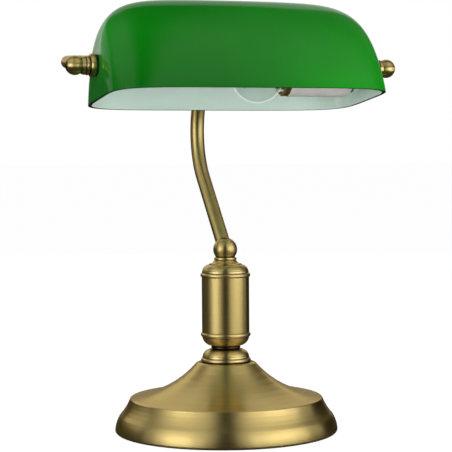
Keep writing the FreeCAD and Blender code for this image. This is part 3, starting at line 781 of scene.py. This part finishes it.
def end_stack(name, side):
    """Turned hub and ball finial of one end."""
    origin = (0, PIVOT.y, PIVOT.z)
    low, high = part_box(f"{name}_hub")
    start = min(abs(low.x), abs(high.x)) / MM
    end = max(abs(low.x), abs(high.x)) / MM
    hub = [
        (start, PIVOT_HOLE),
        (start, 8.6),
        (start + 5.0, 8.6, 2.8),
        (start + 5.2, 7.0),
        (start + 5.8, 7.0),
        (start + 5.9, 7.8),
        (start + 8.3, 7.8, 1.8),
        (start + 8.5, 6.8),
        (start + 9.2, 6.8),
        (start + 9.4, 8.0),
        (end, 7.2),
        (end, PIVOT_HOLE),
    ]
    turned(f"{name}_hub", hub, "X", origin, side, steps=96)
    low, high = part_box(f"{name}_finial")
    near = min(abs(low.x), abs(high.x)) / MM
    far = max(abs(low.x), abs(high.x)) / MM
    radius = (high.z - low.z) / 2 / MM
    centre = far - radius
    finial = [
        (near, PIVOT_HOLE),
        (near, math.sqrt(radius**2 - (centre - near) ** 2)),
        (far, 0, radius),
        (centre + 1.5, 0),
        (centre + 1.5, PIVOT_HOLE),
    ]
    turned(f"{name}_finial", finial, "X", origin, side, steps=96)


# ---------------------------------------------------------------- shade


def shade_point(angle, height_angle, inset):
    """Point of the shade's surface, in millimetres from the pivot, before its tilt."""
    rise = 84.4 - inset
    share = math.sin(height_angle)
    half_length = (123.0 - inset) * (1 - 0.011 * share) * (1 - share**4.5) ** 0.18
    half_width = (61.6 - inset) * (1 - share**1.6) ** (0.625 - 0.125 * share**6)
    along, across = math.cos(angle), math.sin(angle)
    squareness = 5.3 - 3.1 * share
    reach = (abs(along) ** squareness + abs(across) ** squareness) ** (-1 / squareness)
    return Vector((half_length * reach * along, half_width * reach * across, rise * share - 27.8))


def shade():
    """Loaf-shaped glass with a green outside, a dark rim and an opal inside."""
    around, rows = 256, 56
    fine = 4096
    ring = [shade_point(2 * math.pi * step / fine, 0, 0) for step in range(fine + 1)]
    lengths = [0.0]
    for first, second in zip(ring, ring[1:]):
        lengths.append(lengths[-1] + (second - first).length)
    angles, place = [], 0
    for step in range(around):
        target = lengths[-1] * step / around
        while lengths[place + 1] < target:
            place += 1
        part = (target - lengths[place]) / (lengths[place + 1] - lengths[place])
        angles.append(2 * math.pi * (place + part) / fine)
    height_angles = [math.pi / 2 * (1 - (1 - row / rows) ** 1.6) for row in range(rows)]
    turn = Matrix.Rotation(-SHADE_TILT, 3, "X")
    build = bmesh.new()
    skins = []
    for inset in (0.0, GLASS_WALL):
        rings = []
        for height_angle in height_angles:
            verts = []
            for angle in angles:
                point = shade_point(angle, height_angle, inset)
                verts.append(build.verts.new(turn @ point * MM + PIVOT))
            rings.append(verts)
        skins.append(rings)
    for material, rings in ((0, skins[0]), (2, skins[1])):
        for low, high in zip(rings, rings[1:]):
            for step in range(around):
                after = (step + 1) % around
                build.faces.new([low[step], low[after], high[after], high[step]]).material_index = material
        build.faces.new(rings[-1]).material_index = material
    for step in range(around):
        after = (step + 1) % around
        outer, inner = skins[0][0], skins[1][0]
        build.faces.new([outer[after], outer[step], inner[step], inner[after]]).material_index = 1
    bmesh.ops.recalc_face_normals(build, faces=build.faces)
    mesh = bpy.data.meshes.new("shade")
    build.to_mesh(mesh)
    build.free()
    for name in ("green_glass", "rim", "opal"):
        mesh.materials.append(MATERIALS[name])
    return finish_piece(mesh, "shade", "shade_glass", "green_glass", 40)


# ---------------------------------------------------------------- bulb and lampholder


def bulb():
    """Clear globe that runs into its neck."""
    low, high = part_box("bulb_glass")
    centre_z = (low.z + high.z) / 2
    origin = (0, PIVOT.y, centre_z)
    radius = (high.z - low.z) / 2 / MM
    centre = low.x / MM + radius
    neck, wall = 12.4, 0.8
    inner = radius - wall
    glass = [
        (centre - radius, 0),
        (centre + math.sqrt(radius**2 - neck**2), neck, radius),
        (46.0, neck),
        (46.0, neck - wall),
        (centre + math.sqrt(inner**2 - (neck - wall) ** 2), neck - wall),
        (centre - inner, 0, inner),
    ]
    turned("bulb_glass", glass, "X", origin, material="clear_glass")


def lampholder():
    """White holder and its brass ring."""
    low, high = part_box("lampholder_body")
    origin = (0, PIVOT.y, (low.z + high.z) / 2)
    front, back = low.x / MM, high.x / MM
    radius = (high.z - low.z) / 2 / MM
    holder = [
        (front, radius - 2.2),
        (front, radius - 0.5),
        (front + 1.2, radius),
        (back - 9, radius),
        (back, radius - 6.5, 9.0),
        (back, 0),
        (back - 2, 0),
        (back - 2, radius - 7.6),
        (back - 9, radius - 2.2),
    ]
    turned("lampholder_body", holder, "X", origin, material="white_plastic", bevel=0.4)
    ring = [
        (front - 5.5, 13.6),
        (front - 5.5, radius - 1.6),
        (front - 4.6, radius - 0.5),
        (front, radius - 0.5),
        (front, radius - 2.4),
        (front + 6, radius - 2.4),
        (front + 6, 13.8),
        (front - 4.0, 13.6),
    ]
    turned("holder_ring", ring, "X", origin)


# ---------------------------------------------------------------- CAD nodes that stay


def dress_cad_nodes():
    """Give every CAD node its procedural material, and ease the edges of those that stay."""
    for node, item in frame["nodes"].items():
        slot = slot_of(node)
        material = MATERIALS["brass_cast" if slot == "antique_brass" else slot]
        for holder in item.material_slots:
            holder.link = "OBJECT"
            holder.material = material
        if not item.hide_render:
            bevel = item.modifiers.new("eased_edges", "BEVEL")
            bevel.width = 0.2 * MM
            bevel.segments = 2
            bevel.limit_method = "ANGLE"
            bevel.angle_limit = math.radians(40)


# ---------------------------------------------------------------- stage


def background(nodes, level):
    """Plain background of one grey."""
    node = nodes.new("ShaderNodeBackground")
    node.inputs["Color"].default_value = (level, level, level, 1)
    return node.outputs[0]


def choose(nodes, links, path, ray, otherwise, when):
    """Shader for one kind of ray, and another for the rest."""
    node = nodes.new("ShaderNodeMixShader")
    links.new(path.outputs[ray], node.inputs[0])
    links.new(otherwise, node.inputs[1])
    links.new(when, node.inputs[2])
    return node.outputs[0]


def world():
    """White to the camera; a mirrored ray sees a ceiling, brighter to the sides, higher up and in front."""
    studio = bpy.data.worlds.new("studio")
    studio.use_nodes = True
    bpy.context.scene.world = studio
    nodes, links = studio.node_tree.nodes, studio.node_tree.links
    nodes.clear()
    output = nodes.new("ShaderNodeOutputWorld")
    path = nodes.new("ShaderNodeLightPath")
    direction = nodes.new("ShaderNodeTexCoord").outputs["Generated"]

    def calculate(operation, *values):
        node = nodes.new("ShaderNodeMath")
        node.operation = operation
        for socket, value in zip(node.inputs, values):
            links.new(value, socket)
        return node.outputs[0]

    def lean(axis):
        """How far a direction leans along an axis."""
        along = nodes.new("ShaderNodeVectorMath")
        along.operation = "DOT_PRODUCT"
        along.inputs[1].default_value = axis
        links.new(direction, along.inputs[0])
        return along.outputs["Value"]

    def step(value, low, high, start=0.0, end=1.0):
        node = nodes.new("ShaderNodeMapRange")
        node.interpolation_type = "SMOOTHSTEP"
        for name, setting in (("From Min", low), ("From Max", high), ("To Min", start), ("To Max", end)):
            node.inputs[name].default_value = setting
        links.new(value, node.inputs["Value"])
        return node.outputs["Result"]

    aside = step(calculate("ABSOLUTE", lean((math.cos(CAMERA_YAW), -math.sin(CAMERA_YAW), 0))), 0.03, 0.32)
    above = step(lean((0, 0, 1)), 0.15, 0.6)
    ahead = step(lean((-math.sin(CAMERA_YAW), -math.cos(CAMERA_YAW), 0)), -0.45, 0.25, 0.15, 0.82)
    level = calculate("MULTIPLY", calculate("MULTIPLY", aside, above), ahead)
    ceiling = nodes.new("ShaderNodeBackground")
    links.new(level, ceiling.inputs["Color"])
    mirrored = choose(nodes, links, path, "Is Glossy Ray", background(nodes, 0.33), ceiling.outputs[0])
    seen = choose(nodes, links, path, "Is Camera Ray", mirrored, background(nodes, 1.0))
    links.new(seen, output.inputs["Surface"])


def soft_box(name, azimuth, distance, height, width, tall, level):
    """Soft upright source that faces the lamp; azimuth is from the camera's side, positive to its right."""
    data = bpy.data.lights.new(name, "AREA")
    data.shape = "RECTANGLE"
    data.size = width
    data.size_y = tall
    data.energy = level * 4 * width * tall
    item = bpy.data.objects.new(name, data)
    bpy.context.scene.collection.objects.link(item)
    turn = CAMERA_YAW - math.radians(azimuth)
    item.location = Vector((-math.sin(turn) * distance, -math.cos(turn) * distance, height))
    item.rotation_mode = "QUATERNION"
    item.rotation_quaternion = (Vector((0, 0, height)) - item.location).to_track_quat("-Z", "Y")
    item.visible_camera = False


def lights():
    """Nested panels left and right of the camera, which fade out at their edges, and a dim backdrop."""
    for name, inner, outer, distance, level in (
        ("left_core", -35, -64, 1.3, 1.1),
        ("left_panel", -22, -76, 1.3, 0.8),
        ("left_spill", -12, -92, 1.3, 0.35),
        ("right_core", 42, 72, 0.7, 1.35),
        ("right_panel", 24, 90, 0.7, 0.95),
        ("right_spill", 13, 116, 0.7, 0.5),
    ):
        half_angle = math.radians(abs(outer - inner) / 2)
        width = 2 * distance * math.tan(half_angle)
        soft_box(name, (inner + outer) / 2, distance, 0.26, width, 0.56 * distance, level)
    soft_box("backdrop_low", 180, 2.4, 0.5, 2.0, 1.0, 0.22)
    soft_box("backdrop_high", -172, 1.6, 1.75, 2.1, 2.5, 0.55)
    soft_box("backdrop_left", -124, 1.6, 0.8, 1.2, 0.7, 0.4)


def floor():
    """Wide plain pale floor."""
    mesh = bpy.data.meshes.new("floor")
    build = bmesh.new()
    bmesh.ops.create_circle(build, cap_ends=True, segments=96, radius=30)
    build.to_mesh(mesh)
    build.free()
    piece = bpy.data.objects.new("floor", mesh)
    bpy.context.scene.collection.objects.link(piece)
    material = bpy.data.materials.new("floor")
    material.use_nodes = True
    nodes, links = material.node_tree.nodes, material.node_tree.links
    nodes.clear()
    output = nodes.new("ShaderNodeOutputMaterial")
    path = nodes.new("ShaderNodeLightPath")

    def matt(level):
        node = nodes.new("ShaderNodeBsdfDiffuse")
        node.inputs["Color"].default_value = (level, level, level, 1)
        return node.outputs[0]

    glow = nodes.new("ShaderNodeEmission")
    glow.inputs["Strength"].default_value = 0.82
    lit = nodes.new("ShaderNodeAddShader")
    links.new(glow.outputs[0], lit.inputs[0])
    links.new(matt(0.5), lit.inputs[1])
    mirrored = choose(nodes, links, path, "Is Glossy Ray", matt(0.8), matt(0.08))
    seen = choose(nodes, links, path, "Is Camera Ray", mirrored, lit.outputs[0])
    links.new(seen, output.inputs["Surface"])
    mesh.materials.append(material)


def camera():
    """Long lens from the front left, a little above the column."""
    data = bpy.data.cameras.new("camera")
    data.sensor_width = 36
    data.lens = 127.6
    item = bpy.data.objects.new("camera", data)
    bpy.context.scene.collection.objects.link(item)
    ahead = Vector((math.sin(CAMERA_YAW), math.cos(CAMERA_YAW), 0))
    right = Vector((math.cos(CAMERA_YAW), -math.sin(CAMERA_YAW), 0))
    distance, height, aim, shift = 1.400, 0.245, 0.180, 0.00087
    item.location = Vector((0, 0, height)) - ahead * distance + right * shift
    target = Vector((0, 0, aim)) + right * shift
    item.rotation_mode = "QUATERNION"
    level = (target - item.location).to_track_quat("-Z", "Y")
    item.rotation_quaternion = level @ Quaternion((0, 0, 1), CAMERA_ROLL)
    bpy.context.scene.camera = item


foot()
column()
arm_and_yoke()
end_stack("left", -1)
end_stack("right", 1)
shade()
bulb()
lampholder()
turn_all()
dress_cad_nodes()
world()
lights()
floor()
camera()
bpy.context.scene.view_settings.view_transform = "Standard"
